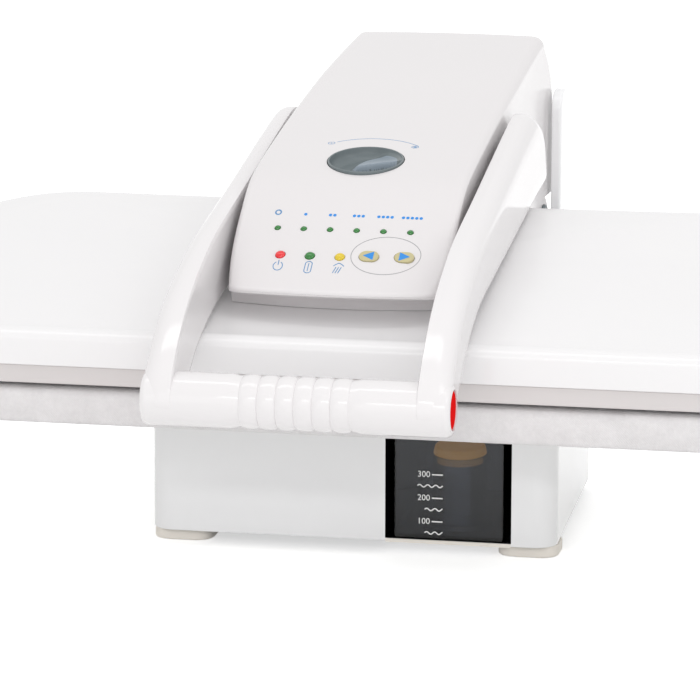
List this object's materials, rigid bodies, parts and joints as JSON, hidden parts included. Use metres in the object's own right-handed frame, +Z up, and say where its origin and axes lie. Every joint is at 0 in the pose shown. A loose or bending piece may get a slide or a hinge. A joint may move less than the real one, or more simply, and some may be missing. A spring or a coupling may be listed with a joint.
{
  "type": "steam ironing press",
  "caption": "Table-top steam ironing press: a wide heated head hinged over a padded cloth board, with a yoke handle, control housing and slide-in water tank.",
  "frame": {"origin": "centre of the footprint of the whole press, on the surface it stands on", "axes": "+X to the right along the board, +Y to the hinge at the rear, +Z up; the handle bar is at -Y"},
  "size_m": [0.64, 0.5423, 0.2809],
  "materials": {
    "white_plastic": "glossy off-white moulding",
    "shell_plastic": "glossy cool white moulding",
    "beige_plastic": "satin heat-resistant plastic",
    "cream_rubber": "soft cream pad",
    "cloth": "close felted cloth",
    "foam": "open foam",
    "grey_plastic": "satin grey plastic",
    "dark_plastic": "black plastic",
    "tan_plastic": "satin tan plastic",
    "red_plastic": "red plastic",
    "green_lens": "clear green lens",
    "yellow_lens": "clear yellow lens",
    "circuit": "green circuit board",
    "steel": "plated steel",
    "aluminium": "cast and ground aluminium",
    "brass": "turned brass",
    "clear_plastic": "smoked clear plastic"
  },
  "bodies": {
    "base": {"base_housing": "white_plastic", "floor_plate": "grey_plastic", "tower_floor_plate": "grey_plastic", "front_foot_left": "cream_rubber", "front_foot_right": "cream_rubber", "rear_foot_left": "cream_rubber", "rear_foot_right": "cream_rubber", "rear_tower": "white_plastic", "mains_inlet": "dark_plastic", "hinge_cheek_left": "steel", "hinge_cheek_right": "steel", "hinge_pin_left": "steel", "hinge_pin_right": "steel", "hinge_cap_left": "grey_plastic", "hinge_cap_right": "grey_plastic", "toggle_anchor_pin": "steel", "board_bracket": "steel", "board_pan": "steel", "board_foam": "foam", "board_cover": "cloth", "tank_socket": "dark_plastic", "water_pump": "dark_plastic", "suction_hose": "dark_plastic"},
    "tank": {"water_tank": "clear_plastic", "tank_lid": "white_plastic", "filter_tube": "clear_plastic", "filter_cap": "tan_plastic", "tank_valve": "dark_plastic"},
    "head": {"heating_plate": "aluminium", "heating_element": "dark_plastic", "steam_chamber_cover": "aluminium", "thermostat": "steel", "plate_rim": "beige_plastic", "head_shell": "shell_plastic", "cross_bar_front": "steel", "cross_bar_rear": "steel", "head_arm_left": "steel", "head_arm_right": "steel", "hinge_bush_left": "brass", "hinge_bush_right": "brass", "control_housing": "white_plastic", "rear_cover": "white_plastic", "control_board": "circuit", "status_lights": "green_lens", "lamp_red": "red_plastic", "lamp_green": "green_lens", "lamp_yellow": "yellow_lens", "rotary_control": "dark_plastic"},
    "knob": {"steam_knob": "grey_plastic"},
    "button_left": {"set_button_left": "tan_plastic"},
    "button_right": {"set_button_right": "tan_plastic"},
    "handle": {"yoke_handle": "white_plastic", "cross_shaft": "steel", "toggle_lever_left": "steel", "toggle_lever_right": "steel", "link_pin": "steel", "grip_cap_left": "red_plastic", "grip_cap_right": "red_plastic"},
    "links": {"toggle_link_left": "steel", "toggle_link_right": "steel"}
  },
  "joints": [
    {"name": "head_hinge", "type": "hinge", "parent": "base", "child": "head", "pos_m": [0, 0.226, 0.154], "axis": [-1, 0, 0], "range_deg": [0, 46]},
    {"name": "handle_pivot", "type": "hinge", "parent": "head", "child": "handle", "pos_m": [0, 0.091, 0.222], "axis": [-1, 0, 0], "range_deg": [0, 28.98]},
    {"name": "link_pivot", "type": "hinge", "parent": "handle", "child": "links", "pos_m": [0, 0.1237, 0.2141], "axis": [1, 0, 0], "range_deg": [0, 44.85]},
    {"name": "tank_slide", "type": "slide", "parent": "base", "child": "tank", "axis": [0, -1, 0], "range_m": [0, 0.115]},
    {"name": "steam_knob_turn", "type": "hinge", "parent": "head", "child": "knob", "pos_m": [0, -0.0518, 0.239], "axis": [0, -0.1822, 0.9833], "range_deg": [-60, 60]},
    {"name": "set_button_left_press", "type": "slide", "parent": "head", "child": "button_left", "axis": [0, 0.5446, -0.8387], "range_m": [0, 0.0015], "stiffness_N_per_m": 400, "springref_m": -0.001},
    {"name": "set_button_right_press", "type": "slide", "parent": "head", "child": "button_right", "axis": [0, 0.5446, -0.8387], "range_m": [0, 0.0015], "stiffness_N_per_m": 400, "springref_m": -0.001}
  ],
  "couplings": [
    {"joint": "handle_pivot", "follows": "head_hinge", "ratio": 0.63},
    {"joint": "link_pivot", "follows": "head_hinge", "ratio": 0.975}
  ]
}
